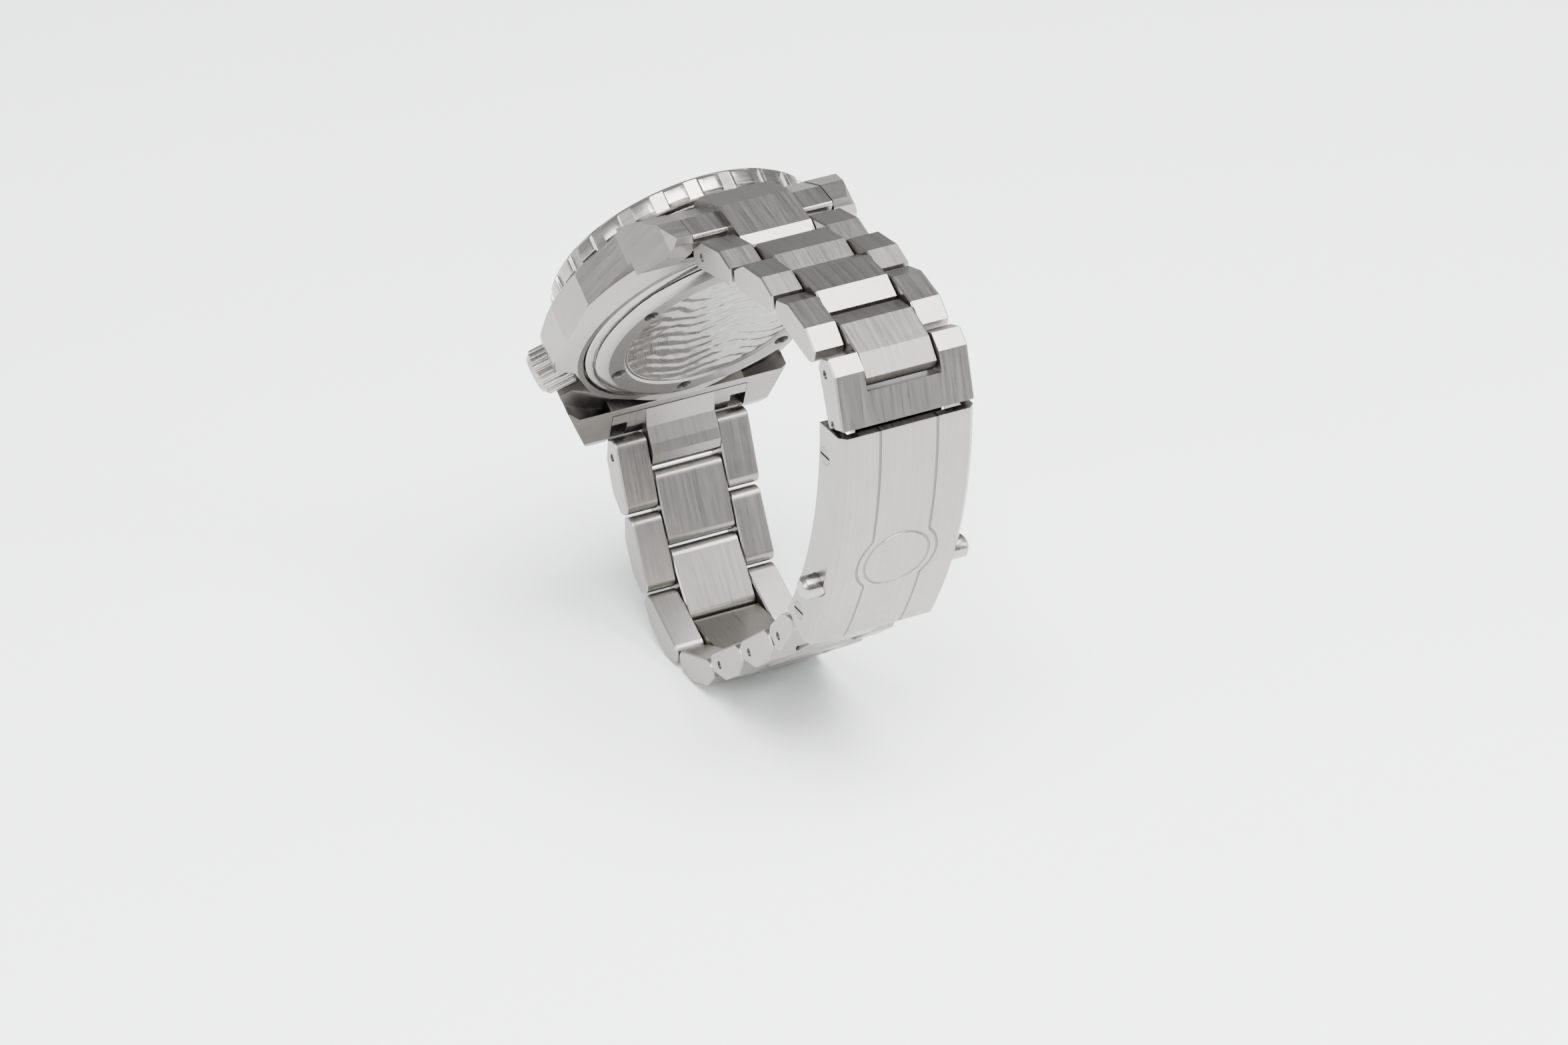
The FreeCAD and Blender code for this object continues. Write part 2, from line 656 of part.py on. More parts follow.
def outer_links(label, width, open_near, place):
    """The two outside links of a row, pressed onto the ends of their pins.  The far bores are
    blind, and so are the near ones where the row has no pin that can be driven out."""
    body = new_body(label)
    start = centre_width / 2.0 + side_gap
    side = new_sketch(body, "YZ_Plane", start)
    add_outline(side, link_outline())
    first = pad(body, side, width / 2.0 - start, False)
    round_and_break(body)
    blind = width - blind_wall * 2.0
    bore_both(body, pin_fit, None if open_near else blind, blind)
    whole = [item for item in body.Group if item.TypeId in (
        "PartDesign::Pad", "PartDesign::Fillet", "PartDesign::Chamfer", "PartDesign::Pocket")]
    mirror_across(body, whole)
    return finish(body, place)


def centre_link(label, place):
    """The middle link, which swings on the pins of the rows before and after it."""
    body = new_body(label)
    side = new_sketch(body, "YZ_Plane")
    add_outline(side, link_outline())
    pad(body, side, centre_width)
    round_and_break(body)
    bore_both(body, pin_play)
    return finish(body, place)


def pins(label, lengths, places):
    """Cross pins, a separate rod at each place."""
    rods = []
    for index, place in enumerate(places):
        pin = rod("%s_rod_%d" % (label, index + 1), pin_radius, lengths[index])
        pin.Placement = place * pin.Placement
        rods.append(pin)
    return finish(group(label, rods))


def head_point(out, up):
    """A point of the head's middle plane, in the watch's own frame."""
    turn = math.radians(cell(tilt))
    return (out * math.cos(turn) - up * math.sin(turn), out * math.sin(turn) + up * math.cos(turn))


def chain(start, directions):
    """The pin places along a run of bracelet, one more than its directions."""
    places = [start]
    for degrees in directions:
        y, z = places[-1]
        step = cell(half_pitch)
        places.append((y + step * math.cos(math.radians(degrees)),
                z + step * math.sin(math.radians(degrees))))
    return places


def rows(side, places, directions, outward):
    """All the rows on one side of the case.  A run towards the clasp keeps its outside up
    or down, so the lower run is drawn the other way up."""
    for index in range(0, len(directions), 2):
        row = index // 2 + 1
        width = row_width[min(row, 4) - 1]
        first = link_place(places[index], directions[index], outward)
        second = link_place(places[index + 1], directions[index + 1], outward)
        far = link_place(places[index + 1], directions[index], outward)
        open_near = row in (1, 5, 6)
        outer_links("outer_links_%s_%d" % (side, row), width, open_near, first)
        centre_link("centre_link_%s_%d" % (side, row), second)
        hidden = width - blind_wall * 2.0 - 0.2
        lengths = [width - 0.5 if open_near else hidden, hidden]
        pins("link_pins_%s_%d" % (side, row), lengths, [first, far])


def link_place(point, degrees, outward):
    """A link's place: its outside faces away from the wrist."""
    base = spot(point[0], point[1], degrees)
    if outward > 0:
        return base
    return base * FreeCAD.Placement(FreeCAD.Vector(0, 0, 0), FreeCAD.Rotation(FreeCAD.Vector(0, 1, 0), 180))


hinge_12 = head_point(cell(hinge_out), cell(back - hinge_down))
hinge_6 = head_point(-cell(hinge_out), cell(back - hinge_down))
places_12 = chain(hinge_12, directions_12)
places_6 = chain(hinge_6, directions_6)


# ---------------------------------------------------------------- clasp

clasp_frame = FreeCAD.Placement(FreeCAD.Vector(0, cell(clasp_y), cell(clasp_z)), FreeCAD.Rotation())


def clasp_point(radius, degrees):
    """A point of the clasp, given about the centre of its curve, in the watch's own frame."""
    turn = math.radians(degrees)
    return (cell(clasp_y) + radius * math.cos(turn), cell(clasp_z) + radius * math.sin(turn))


end_run = drive("end_link_run", 7.1)
end_direction = -70.4
end_near = places_12[-1]
end_far = (end_near[0] + cell(end_run) * math.cos(math.radians(end_direction)),
           end_near[1] + cell(end_run) * math.sin(math.radians(end_direction)))


def clasp_end_link_12():
    """U-shaped end piece: the last centre link hinges in its slot, the blade's rolled end
    sits in the notch at its lower edge, held by a short stub on either side."""
    body = new_body("clasp_end_link_12")
    side = new_sketch(body, "YZ_Plane")
    add_outline(side, [(-2.3, -0.9), (-2.3, 1.55), (0.1, 2.95), (end_run + 0.7, 2.6), (end_run + 0.7, -1.3),
                       (end_run - 0.4, -1.6), (-0.9, -1.9)])
    pad(body, side, row_width[3])

    def end_edges(edge):
        return edge.BoundBox.XLength < 0.001

    dress(body, "Chamfer", end_edges, link_break)
    slot = new_sketch(body, "XY_Plane")
    half = centre_width / 2.0 + side_gap
    add_outline(slot, [(-half, -4.0), (half, -4.0), (half, 3.05), (-half, 3.05)])
    pocket(body, slot)
    notch = new_sketch(body, "YZ_Plane")
    add_outline(notch, [(end_run - 3.3, -3.0), (end_run - 1.2, 0.9), (end_run - 0.65, 0.9),
            (end_run + 0.72, 2.55),
                        (end_run + 2.0, 2.55), (end_run + 2.0, -3.0)])
    pocket(body, notch, blade_width + 0.6)
    bores = new_sketch(body, "YZ_Plane")
    add_circle(bores, (0.0, 0.0), pin_radius + pin_fit)
    add_circle(bores, (end_run, 0.0), pin_radius + pin_fit)
    pocket(body, bores)
    place = spot(end_near[0], end_near[1], end_direction)
    finish(body, place)
    rods = [rod("clasp_end_pin", pin_radius, row_width[3] - 0.5)]
    rods[0].Placement = place * rods[0].Placement
    for sign in (1, -1):
        stub = rod("blade_stub", pin_radius, (row_width[3] - blade_width) / 2.0 - 0.65)
        middle = (cell(row_width[3]) + cell(blade_width)) / 4.0 + 0.1
        shift = FreeCAD.Placement(FreeCAD.Vector(sign * middle, cell(end_run), 0), FreeCAD.Rotation())
        stub.Placement = place * shift * stub.Placement
        rods.append(stub)
    finish(group("clasp_end_pins_12", rods))


def clasp_cover():
    """Curved channel: a skin over two side walls, with bores for screws and buttons."""
    body = new_body("clasp_cover")
    whole = new_sketch(body, "YZ_Plane")
    add_sector(whole, clasp_radius - clasp_depth, clasp_radius, cover_low, cover_top)
    pad(body, whole, clasp_width)

    def long_edge(edge):
        box = edge.BoundBox
        outer = abs(edge.Vertexes[0].Point.Length - 0.0) > 0 and box.XLength < 0.001
        middle = edge.valueAt((edge.FirstParameter + edge.LastParameter) / 2)
        return outer and math.hypot(middle.y, middle.z) > cell(clasp_radius) - 0.01

    dress(body, "Chamfer", long_edge, 1.0)
    hollow = new_sketch(body, "YZ_Plane")
    add_sector(hollow, clasp_radius - clasp_depth - 2.0, clasp_radius - clasp_skin, cover_low - 3.0,
            cover_top + 3.0)
    pocket(body, hollow, clasp_width - clasp_wall * 2.0)
    bores = new_sketch(body, "YZ_Plane")
    add_circle(bores, polar(screw_top_radius, screw_top_angle), screw_shank + 0.02)
    add_circle(bores, polar(screw_low_radius, screw_low_angle), screw_shank + 0.02)
    add_circle(bores, polar(button_radius_out, button_angle), button_cap + 0.05)
    pocket(body, bores)
    sinks = new_sketch(body, "YZ_Plane", clasp_width / 2.0)
    add_circle(sinks, polar(screw_top_radius, screw_top_angle), screw_head + 0.03)
    add_circle(sinks, polar(screw_low_radius, screw_low_angle), screw_head + 0.03)
    sunk = pocket(body, sinks, 1.2)
    mirror_across(body, [sunk])
    return finish(body, clasp_frame)


def hinge_screws():
    """A slotted screw at both ends of each side wall, sunk into the wall's face."""
    screws = []
    face = clasp_width / 2.0
    for radius, degrees, reach in ((screw_top_radius, screw_top_angle, 7.3),
            (screw_low_radius, screw_low_angle, 7.3)):
        y, z = clasp_point(cell(radius), cell(degrees))
        for flip in (0, 180):
            blank = lathe_along_x("screw_blank", [
                (reach, 0.0), (reach, screw_shank), (face - 0.58, screw_shank), (face - 0.58, screw_head),
                (face - 0.02, screw_head), (face - 0.02, 0.0)])
            slot = doc.addObject("Part::Box", "screw_slot")
            slot.Length = 0.6
            slot.Width = 4.0
            slot.Height = 0.34
            slot.Placement.Base = FreeCAD.Vector(cell(face) - 0.36, -2.0, -0.17)
            screw = boolean("Cut", "hinge_screw", blank, slot)
            turn = FreeCAD.Placement(FreeCAD.Vector(0, 0, 0), FreeCAD.Rotation(Z_AXIS, flip))
            screw.Placement = spot(y, z, 0) * turn
            screws.append(screw)
    return finish(group("hinge_screws", screws))


def outer_blade():
    """The blade hinged to the cover: two arms joined beyond the fold, with a catch tongue."""
    body = new_body("outer_blade")
    arm_inner, arm_outer = fold_radius - 1.3, fold_radius + 0.9
    arms = new_sketch(body, "YZ_Plane")
    add_sector(arms, arm_inner, arm_outer, fold_angle - 1.0, screw_top_angle)
    wide = clasp_width - clasp_wall * 2.0 - 0.4
    pad(body, arms, wide)
    knuckles = new_sketch(body, "YZ_Plane")
    add_circle(knuckles, polar(screw_top_radius, screw_top_angle), 1.45)
    pad(body, knuckles, wide)
    fold = new_sketch(body, "YZ_Plane")
    add_circle(fold, polar(fold_radius, fold_angle), 1.45)
    pad(body, fold, wide)
    window = new_sketch(body, "YZ_Plane")
    add_sector(window, fold_radius - 4.0, fold_radius + 4.0, fold_angle - 1.6, screw_top_angle + 3.0)
    pocket(body, window, 14.2)
    tongue = new_sketch(body, "YZ_Plane")
    add_sector(tongue, arm_inner + 0.3, arm_outer - 0.3, fold_angle - 9.2, fold_angle - 1.6)
    pad(body, tongue, 10.0)
    bridge = new_sketch(body, "YZ_Plane")
    add_sector(bridge, arm_inner + 0.1, arm_outer - 0.1, fold_angle - 3.0, fold_angle - 1.6)
    pad(body, bridge, wide)
    web_width = wide / 2.0 - 7.1
    web = new_sketch(body, "YZ_Plane", 7.1)
    add_sector(web, arm_inner + 0.1, arm_outer - 0.1, fold_angle - 1.9, fold_angle)
    mirror_across(body, [pad(body, web, web_width, False)])
    bores = new_sketch(body, "YZ_Plane")
    add_circle(bores, polar(screw_top_radius, screw_top_angle), screw_shank + pin_play)
    add_circle(bores, polar(fold_radius, fold_angle), fold_pin_radius + pin_fit)
    pocket(body, bores)
    return finish(body, clasp_frame)


def inner_blade():
    """The blade that lies inside the outer one, from the fold pin up into the end piece."""
    body = new_body("inner_blade")
    far_y = end_far[0] - cell(clasp_y)
    far_z = end_far[1] - cell(clasp_z)
    far_angle = math.degrees(math.atan2(far_z, far_y))
    plate = new_sketch(body, "YZ_Plane")
    add_sector(plate, fold_radius - 0.4, fold_radius + 0.9, fold_angle, far_angle)
    pad(body, plate, blade_width)
    knuckle = new_sketch(body, "YZ_Plane")
    add_circle(knuckle, polar(fold_radius, fold_angle), 1.3)
    pad(body, knuckle, blade_width)
    rolled_end = new_sketch(body, "YZ_Plane")
    add_circle(rolled_end, (far_y, far_z), 0.85)
    pad(body, rolled_end, blade_width)
    bores = new_sketch(body, "YZ_Plane")
    add_circle(bores, polar(fold_radius, fold_angle), fold_pin_radius + pin_play)
    pocket(body, bores)
    return finish(body, clasp_frame)


def fold_pin():
    y, z = clasp_point(cell(fold_radius), cell(fold_angle))
    pin = rod("fold_pin", fold_pin_radius, clasp_width - clasp_wall * 2.0 - 0.6)
    pin.Label = "fold_pin"
    return finish(pin, spot(y, z, 0) * pin.Placement)


def push_buttons():
    """A release button through each side wall, with a narrow nose towards the catch tongue."""
    y, z = clasp_point(cell(button_radius_out), cell(button_angle))
    face = clasp_width / 2.0
    for side, flip in (("right", 0), ("left", 180)):
        button = lathe_along_x("push_button_" + side, [
            (7.0, 0.0), (7.0, button_shank), (8.3, button_shank), (8.3, button_cap),
            (face + 2.0, button_cap), (face + 2.5, button_cap - 0.5), (face + 2.5, 0.0)])
        turn = FreeCAD.Placement(FreeCAD.Vector(0, 0, 0), FreeCAD.Rotation(Z_AXIS, flip))
        finish(button, spot(y, z, 0) * turn)


def clasp_end_link_6():
    """The end piece of the lower run: it reaches into the cover and turns on the low screws."""
    low = clasp_point(cell(screw_low_radius), cell(screw_low_angle))
    start = places_6[-1]
    run = math.hypot(low[0] - start[0], low[1] - start[1])
    heading = math.degrees(math.atan2(low[1] - start[1], low[0] - start[0]))
    body = new_body("clasp_end_link_6")
    wide = new_sketch(body, "YZ_Plane")
    add_outline(wide, [(-2.3, -1.5), (-1.2, -2.1), (3.6, -2.0), (5.2, -1.2), (6.4, 0.0), (5.2, 1.4),
            (-1.0, 1.9), (-2.3, 1.2)])
    pad(body, wide, row_width[3])
    neck = new_sketch(body, "YZ_Plane")
    add_outline(neck, [(2.6, -1.7), (run - 1.0, -1.6), (run + 0.9, -1.1), (run + 1.6, 0.2),
            (run + 0.8, 1.5), (run - 1.0, 1.7),
                       (2.6, 1.4)])
    pad(body, neck, clasp_width - clasp_wall * 2.0 - 0.4)
    slot = new_sketch(body, "XY_Plane")
    half = centre_width / 2.0 + side_gap
    add_outline(slot, [(-half, -4.0), (half, -4.0), (half, 3.0), (-half, 3.0)])
    pocket(body, slot)
    bores = new_sketch(body, "YZ_Plane")
    add_circle(bores, (0.0, 0.0), pin_radius + pin_fit)
    pocket(body, bores)
    far = new_sketch(body, "YZ_Plane")
    add_circle(far, (run, 0.0), screw_shank + pin_play)
    pocket(body, far)
    place = spot(start[0], start[1], heading) * FreeCAD.Placement(FreeCAD.Vector(0, 0, 0),
            FreeCAD.Rotation(FreeCAD.Vector(0, 1, 0), 180))
    finish(body, place)
    pins("clasp_end_pin_6", [row_width[3] - 0.5], [place])


mid_case()
case_back()
inside_group()
bezel_group()
crown_group()
end_link("end_link_12", 0.0)
end_link("end_link_6", 180.0)
spring_bar("spring_bar_12", 0.0)
spring_bar("spring_bar_6", 180.0)
rows("12", places_12, directions_12, 1)
rows("6", places_6, directions_6, -1)
clasp_end_link_12()
clasp_cover()
hinge_screws()
outer_blade()
inner_blade()
fold_pin()
push_buttons()
clasp_end_link_6()

doc.recompute()

faults = [item.Label for item in doc.Objects if "Invalid" in item.State or "Error" in item.State]
for piece in sub_parts:
    if piece.Shape.isNull() or not piece.Shape.isValid():
        faults.append(piece.Label)
if faults:
    raise SystemExit("faulty objects: " + ", ".join(sorted(set(faults))))
for piece in sub_parts:
    piece.Shape.exportStep("parts/" + piece.Label + ".step")
    box = piece.Shape.BoundBox
    print("%-24s %8.1f mm3  %d solids  y %.1f..%.1f z %.1f..%.1f" % (
        piece.Label, piece.Shape.Volume, len(piece.Shape.Solids), box.YMin, box.YMax, box.ZMin, box.ZMax))
print(len(sub_parts), "sub-parts")
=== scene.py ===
import math

import bpy
from mathutils import Matrix, Vector


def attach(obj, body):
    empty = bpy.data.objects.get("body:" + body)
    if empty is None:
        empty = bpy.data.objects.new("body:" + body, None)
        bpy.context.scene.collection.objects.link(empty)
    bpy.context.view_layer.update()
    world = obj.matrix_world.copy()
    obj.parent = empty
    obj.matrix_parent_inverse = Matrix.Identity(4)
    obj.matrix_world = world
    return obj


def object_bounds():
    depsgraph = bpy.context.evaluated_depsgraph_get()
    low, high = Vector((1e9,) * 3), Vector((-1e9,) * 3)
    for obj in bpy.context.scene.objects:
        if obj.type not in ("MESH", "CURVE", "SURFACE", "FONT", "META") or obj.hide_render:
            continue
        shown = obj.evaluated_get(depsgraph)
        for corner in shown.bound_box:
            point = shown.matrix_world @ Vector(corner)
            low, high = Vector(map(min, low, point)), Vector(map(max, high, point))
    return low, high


# Dive watch on a steel bracelet, in metres.  The origin is the wrist's centre on the dial's
# axis, and the head is tilted about the X axis, which runs towards the crown.

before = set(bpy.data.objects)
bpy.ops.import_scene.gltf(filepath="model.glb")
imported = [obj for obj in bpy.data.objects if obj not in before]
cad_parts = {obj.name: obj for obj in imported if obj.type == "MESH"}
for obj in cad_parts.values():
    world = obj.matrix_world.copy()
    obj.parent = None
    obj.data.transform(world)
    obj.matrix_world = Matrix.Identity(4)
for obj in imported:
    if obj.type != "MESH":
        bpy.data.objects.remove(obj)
cad_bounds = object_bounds()


# ---------------------------------------------------------------- case and end links
# The case middle and the fitted end links are milled from stainless steel bar, with a fine
# brushed grain and narrow broken edges.  Everything else in the watch is fixed to them.

TILT = math.radians(58.0)


class Value:
    """An output socket in a material, so that shader maths reads as arithmetic."""

    def __init__(self, tree, socket):
        self.tree = tree
        self.socket = socket

    def calculate(self, operation, *others):
        return make(self.tree, "ShaderNodeMath", (self,) + others, operation=operation)

    def __add__(self, other):
        return self.calculate("ADD", other)

    def __sub__(self, other):
        return self.calculate("SUBTRACT", other)

    def __rsub__(self, other):
        return make(self.tree, "ShaderNodeMath", (other, self), operation="SUBTRACT")

    def __mul__(self, other):
        return self.calculate("MULTIPLY", other)

    def __truediv__(self, other):
        return self.calculate("DIVIDE", other)

    def __rtruediv__(self, other):
        return make(self.tree, "ShaderNodeMath", (other, self), operation="DIVIDE")

    __radd__ = __add__
    __rmul__ = __mul__

    def below(self, limit):
        return self.calculate("LESS_THAN", limit)

    def above(self, limit):
        return self.calculate("GREATER_THAN", limit)

    def size(self):
        return self.calculate("ABSOLUTE")

    def near(self, target, width):
        """1 where this value is within half of width of the target, with soft flanks."""
        away = (self - target).size() / (width / 2.0)
        full_until, gone_from = 0.6, 1.4
        return make(self.tree, "ShaderNodeMapRange", (away, full_until, gone_from, 1.0, 0.0), clamp=True)


def make(tree, kind, inputs=(), output=0, **settings):
    """Adds a node, links or sets its inputs, and returns the chosen output."""
    node = tree.nodes.new(kind)
    for name, setting in settings.items():
        setattr(node, name, setting)
    pairs = inputs.items() if isinstance(inputs, dict) else enumerate(inputs)
    for key, value in pairs:
        if value is None:
            continue
        if isinstance(value, Value):
            tree.links.new(value.socket, node.inputs[key])
        else:
            node.inputs[key].default_value = value
    return Value(tree, node.outputs[output])


class Surface:
    """A material in the making: its tree, its object coordinates and its final shader."""

    def __init__(self, name, tilted=False):
        self.material = bpy.data.materials.new(name)
        self.material.use_nodes = True
        self.tree = self.material.node_tree
        self.shader = self.tree.nodes["Principled BSDF"]
        place = self.node("ShaderNodeTexCoord", output="Object")
        if tilted:
            place = self.node("ShaderNodeVectorRotate", {"Vector": place, "Angle": -TILT},
                              rotation_type="X_AXIS")
        self.place = place
        self.x = self.node("ShaderNodeSeparateXYZ", (place,), output="X")
        self.y = self.node("ShaderNodeSeparateXYZ", (place,), output="Y")
        self.z = self.node("ShaderNodeSeparateXYZ", (place,), output="Z")

    def node(self, kind, inputs=(), output=0, **settings):
        return make(self.tree, kind, inputs, output, **settings)

    def noise(self, stretch, detail=3.0, rough=0.55):
        """Noise from 0 to 1; stretch is how many features there are per metre along X, Y, Z."""
        wide = self.node("ShaderNodeVectorMath", (self.place, stretch), operation="MULTIPLY")
        return self.node("ShaderNodeTexNoise", {"Vector": wide, "Scale": 1.0, "Detail": detail,
                                                "Roughness": rough})

    def radius(self):
        """Distance from the dial's axis, on a tilted surface."""
        return (self.x * self.x + self.y * self.y).calculate("SQRT")

    def colour(self, dark, light, amount):
        return blend_colours(self, dark + (1.0,), light + (1.0,), amount)

    def set(self, name, value):
        if isinstance(value, Value):
            self.tree.links.new(value.socket, self.shader.inputs[name])
        else:
            self.shader.inputs[name].default_value = value

    def value_of(self, name):
        """What feeds the shader's input now, so that more can be mixed over it."""
        return Value(self.tree, self.shader.inputs[name].links[0].from_socket)

    def bump(self, height, distance, strength=1.0, under=None):
        return self.node("ShaderNodeBump", {"Height": height, "Distance": distance, "Strength": strength,
                                            "Normal": under})


def blend_colours(surface, base, over, amount):
    """Mixes two colours; over is shown where amount is 1."""
    node = surface.tree.nodes.new("ShaderNodeMix")
    node.data_type = "RGBA"
    for socket, value in ((node.inputs[0], amount), (node.inputs[6], base), (node.inputs[7], over)):
        if isinstance(value, Value):
            surface.tree.links.new(value.socket, socket)
        else:
            socket.default_value = value
    return Value(surface.tree, node.outputs[2])


LENGTHWISE = (9000.0, 260.0, 260.0)
RING_FINENESS = 14000.0
WALL_FINENESS = 9000.0
CLOUDS = (170.0, 170.0, 170.0)
HANDLING = (900.0, 700.0, 800.0)
SCRATCHES = (420.0, 2300.0, 1700.0)
SCRATCH_WIDTH = 0.012
SCRATCHED_FROM = 0.62
STREAK_SHARE = 0.22
DARKEST = 0.78
LIGHTEST = 1.16


def steel(name, tint, roughness, along=LENGTHWISE, grain_depth=0.000005, tilted=False,
          turned=False, relief=None, depth=0.0):
    """Stainless steel with a brushed grain, faint handling marks and small scratches.  along is
    how many grain lines there are per metre on each axis.  A turned surface has rings about the
    dial's axis, and a relief is a pattern that stands up or is sunk by depth."""
    surface = Surface(name, tilted)
    if turned:
        ringed = surface.node("ShaderNodeCombineXYZ", (
            surface.radius() * RING_FINENESS, surface.z * WALL_FINENESS, 0.0))
        grain = surface.node("ShaderNodeTexNoise", {"Vector": ringed, "Scale": 1.0, "Detail": 3.0})
        streaks = grain
    else:
        grain = surface.noise(along, 4.0, 0.6)
        streaks = surface.noise(tuple(fineness * STREAK_SHARE for fineness in along), 3.0)
    broad = surface.noise(CLOUDS)
    marks = surface.noise(HANDLING, 5.0, 0.7)
    stretched = surface.node("ShaderNodeVectorMath", (surface.place, SCRATCHES), operation="MULTIPLY")
    cracks = surface.node("ShaderNodeTexVoronoi", {"Vector": stretched, "Scale": 1.0},
                          feature="DISTANCE_TO_EDGE")
    scratch = cracks.below(SCRATCH_WIDTH) * marks.above(SCRATCHED_FROM)
    tone = (grain * 0.35 + streaks * 0.45 + broad * 0.2 - 0.5) * 1.6 + 0.5
    dark = tuple(channel * DARKEST for channel in tint)
    light = tuple(min(1.0, channel * LIGHTEST) for channel in tint)
    surface.set("Base Color", blend_colours(surface, dark + (1.0,), light + (1.0,), tone))
    surface.set("Metallic", 1.0)
    surface.set("Roughness", (grain - 0.5) * 0.16 + (streaks - 0.5) * 0.2 + (marks - 0.5) * 0.06
                + scratch * 0.08 + roughness)
    fine = surface.bump(grain, grain_depth, 0.6)
    height = surface.bump(scratch, 0.000004, 0.35, fine)
    if relief is not None:
        shape = relief(surface)
        height = surface.bump(shape, depth, 1.0, height)
    surface.set("Normal", height)
    return surface


WELD_WITHIN = 0.000002
SHARPER_THAN = math.radians(28.0)


def coat(names, surface, edge=0.0):
    """Gives CAD nodes a material and, where edge is given, small rounded edges."""
    for name in names:
        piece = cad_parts[name]
        piece.data.materials.clear()
        piece.data.materials.append(surface.material)
        if edge > 0.0:
            weld = piece.modifiers.new("join_faces", "WELD")
            weld.merge_threshold = WELD_WITHIN
            rounded = piece.modifiers.new("edges", "BEVEL")
            rounded.width = edge
            rounded.segments = 2
            rounded.limit_method = "ANGLE"
            rounded.angle_limit = SHARPER_THAN
            rounded.harden_normals = True


WARM_STEEL = (0.25, 0.24, 0.227)
case_steel = steel("case steel", WARM_STEEL, 0.36, along=(500.0, 420.0, 9000.0), tilted=True)
coat(["mid_case"], case_steel, 0.00018)
link_steel = steel("brushed link steel", WARM_STEEL, 0.32)
coat(["end_link_12", "end_link_6"], link_steel, 0.0001)


# ---------------------------------------------------------------- case back
# The case back is turned from the same steel and screwed in with a pin key.  The flat ring
# with the key holes is matt, and the centre carries a relief of waves.

SPECKLE = (2400.0, 2400.0, 2400.0)


def plain(name, tint, roughness, metallic=0.0):
    """Plastic, rubber, paint or lume: a fine mottled skin with soft changes of gloss."""
    surface = Surface(name)
    mottle = surface.noise(SPECKLE, 4.0)
    cloud = surface.noise((220.0, 260.0, 240.0), 2.0)
    dark = tuple(channel * 0.8 for channel in tint)
    surface.set("Base Color", surface.colour(dark, tint, mottle * 0.5 + cloud * 0.5))
    surface.set("Metallic", metallic)
    surface.set("Roughness", (mottle - 0.5) * 0.2 + (cloud - 0.5) * 0.15 + roughness)
    surface.set("Normal", surface.bump(mottle, 0.000003, 0.4))
    return surface


RELIEF_RADIUS = 0.0138
RIM_RADIUS = 0.0140
RIM_WIDTH = 0.0003
MATT_RING_RADIUS = 0.0158
MATT_RING_WIDTH = 0.0029
CRESTS = 2600.0
SWELL = 480.0
DRIFT = (130.0, 130.0, 130.0)
FOAM = (620.0, 900.0, 0.0)


def waves(surface):
    """Rolling crests inside the engraved disc, with a raised rim."""
    span = surface.radius()
    bend = surface.noise(DRIFT) * 9.0
    swell = (surface.x * SWELL).calculate("SINE") * 2.2
    crests = (surface.y * CRESTS + bend + swell).calculate("SINE")
    scattered = surface.node("ShaderNodeVectorMath", (surface.place, FOAM), operation="MULTIPLY")
    foam = surface.node("ShaderNodeTexVoronoi", {"Vector": scattered, "Scale": 1.0}, feature="SMOOTH_F1")
    sea = crests.calculate("MULTIPLY_ADD", 0.5, 0.5) * 0.7 + foam * 0.5
    return span.below(RELIEF_RADIUS) * sea + span.near(RIM_RADIUS, RIM_WIDTH)


back_steel = steel("case back steel", (0.27, 0.263, 0.25), 0.22, tilted=True, turned=True,
                   relief=waves, depth=0.00022)
matt = back_steel.radius().near(MATT_RING_RADIUS, MATT_RING_WIDTH)
turned_colour = back_steel.value_of("Base Color")
back_steel.set("Base Color", blend_colours(back_steel, turned_colour, (0.17, 0.166, 0.16, 1.0), matt * 0.8))
back_steel.set("Roughness", back_steel.value_of("Roughness") + matt * 0.2)
coat(["case_back"], back_steel, 0.00006)
coat(["case_back_gasket"], plain("gasket rubber", (0.02, 0.02, 0.021), 0.6))


# ---------------------------------------------------------------- bezel and crown
# The bezel ring is satin steel with blocks milled round its edge, and turns on the case's
# neck.  The crown is turned, fluted and screwed to its tube.

bezel_steel = steel("bezel steel", (0.31, 0.3, 0.285), 0.29, along=(700.0, 700.0, 8000.0),
                    grain_depth=0.0000015, tilted=True)
coat(["bezel_ring"], bezel_steel, 0.0001)
insert_paint = plain("bezel insert coating", (0.014, 0.015, 0.018), 0.28)
coat(["bezel_insert"], insert_paint, 0.00004)
lume = plain("luminous paint", (0.78, 0.86, 0.72), 0.5)
coat(["bezel_pip"], lume)
crown_steel = steel("crown steel", (0.3, 0.29, 0.272), 0.3, along=(3000.0, 3000.0, 3000.0),
                    grain_depth=0.000001)
coat(["crown"], crown_steel, 0.00005)


# ---------------------------------------------------------------- bracelet
# Solid brushed links swing on cross pins of drawn steel.  The pins are pressed into the
# outer links.  The ends of some sit just below the flanks, and the others are in blind bores.

links = [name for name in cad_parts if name.startswith(("outer_links", "centre_link"))]
coat(links, link_steel)
pin_steel = steel("drawn pin steel", (0.2, 0.195, 0.19), 0.34, along=(5000.0, 5000.0, 5000.0),
                  grain_depth=0.000001)
pin_nodes = [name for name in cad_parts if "pin" in name and not name.endswith("pip")]
coat(pin_nodes + ["spring_bar_12", "spring_bar_6", "crown_tube", "winding_stem", "hinge_screws"],
     pin_steel, 0.00003)


# ---------------------------------------------------------------- clasp
# The cover is a curved channel of brushed steel plate over two pressed spring-steel blades.
# Two engraved lines run down it and part round a plain disc with an engraved rim.

